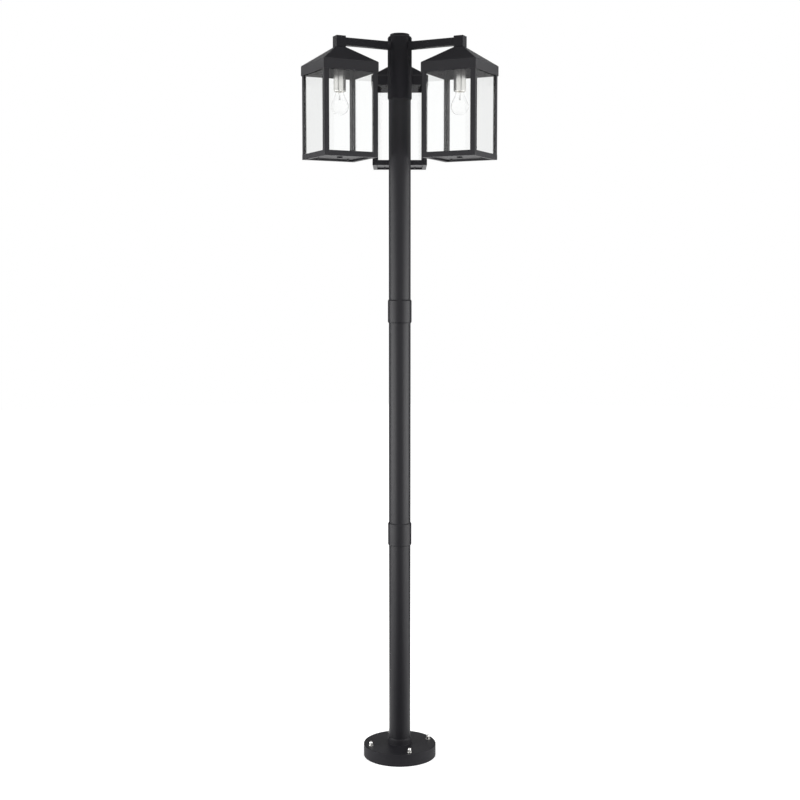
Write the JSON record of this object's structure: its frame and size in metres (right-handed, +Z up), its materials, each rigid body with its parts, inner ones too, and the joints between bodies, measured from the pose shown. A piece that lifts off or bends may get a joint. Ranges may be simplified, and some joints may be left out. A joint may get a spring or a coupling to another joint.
{
  "type": "triple head lamp post",
  "caption": "Outdoor post light: square glass lanterns hang from arms round a slim black sectional pole on a round base that bolts down.",
  "frame": {"origin": "middle of the base's underside, on the post axis at ground level", "axes": "+Z up the post, +Y towards the rear lantern, +X towards the right front lantern's side"},
  "size_m": [0.673, 0.5612, 2.54],
  "materials": {
    "base_black": "textured black powder coat",
    "post_black": "textured black powder coat",
    "lantern_black": "textured black powder coat",
    "black_steel": "black oxide",
    "anchor_nickel": "polished nickel plate",
    "polished_nickel": "polished nickel plate",
    "zinc_steel": "zinc plate",
    "porcelain": "satin",
    "lamp_brass": "plain",
    "pane_glass": "clear",
    "bulb_glass": "clear",
    "bulb_cap_metal": "plain",
    "bulb_mount_glass": "clear"
  },
  "bodies": {
    "post": {"base_casting": "base_black", "anchor_washers": "anchor_nickel", "anchor_nuts": "anchor_nickel", "lower_tube": "post_black", "middle_tube": "post_black", "upper_tube": "post_black", "lower_coupler": "post_black", "upper_coupler": "post_black", "hub": "post_black", "hub_cap": "post_black", "hub_set_screws": "black_steel", "left_arm": "lantern_black", "left_end_block": "lantern_black", "left_roof": "lantern_black", "left_corner_posts": "lantern_black", "left_bottom_frame": "lantern_black", "left_bottom_plate": "lantern_black", "left_plate_screws": "black_steel", "left_glass_panes": "pane_glass", "left_threaded_rod": "zinc_steel", "left_rod_nuts": "zinc_steel", "left_socket_cover": "polished_nickel", "left_lamp_holder": "porcelain", "left_screw_shell": "lamp_brass", "right_arm": "lantern_black", "right_end_block": "lantern_black", "right_roof": "lantern_black", "right_corner_posts": "lantern_black", "right_bottom_frame": "lantern_black", "right_bottom_plate": "lantern_black", "right_plate_screws": "black_steel", "right_glass_panes": "pane_glass", "right_threaded_rod": "zinc_steel", "right_rod_nuts": "zinc_steel", "right_socket_cover": "polished_nickel", "right_lamp_holder": "porcelain", "right_screw_shell": "lamp_brass", "rear_arm": "lantern_black", "rear_end_block": "lantern_black", "rear_roof": "lantern_black", "rear_corner_posts": "lantern_black", "rear_bottom_frame": "lantern_black", "rear_bottom_plate": "lantern_black", "rear_plate_screws": "black_steel", "rear_glass_panes": "pane_glass", "rear_threaded_rod": "zinc_steel", "rear_rod_nuts": "zinc_steel", "rear_socket_cover": "polished_nickel", "rear_lamp_holder": "porcelain", "rear_screw_shell": "lamp_brass"},
    "left_bulb": {"left_bulb_glass": "bulb_glass", "left_bulb_cap": "bulb_cap_metal", "left_bulb_mount": "bulb_mount_glass"},
    "right_bulb": {"right_bulb_glass": "bulb_glass", "right_bulb_cap": "bulb_cap_metal", "right_bulb_mount": "bulb_mount_glass"},
    "rear_bulb": {"rear_bulb_glass": "bulb_glass", "rear_bulb_cap": "bulb_cap_metal", "rear_bulb_mount": "bulb_mount_glass"}
  },
  "joints": [
    {"name": "left_bulb_screw", "type": "hinge", "parent": "post", "child": "left_bulb", "pos_m": [-0.20297, -0.1012, 2.3342], "axis": [0, 0, 1], "range_deg": [-1260, 0]},
    {"name": "right_bulb_screw", "type": "hinge", "parent": "post", "child": "right_bulb", "pos_m": [0.20297, -0.1012, 2.3342], "axis": [0, 0, 1], "range_deg": [-1260, 0]},
    {"name": "rear_bulb_screw", "type": "hinge", "parent": "post", "child": "rear_bulb", "pos_m": [0, 0.2268, 2.3342], "axis": [0, 0, 1], "range_deg": [-1260, 0]}
  ]
}
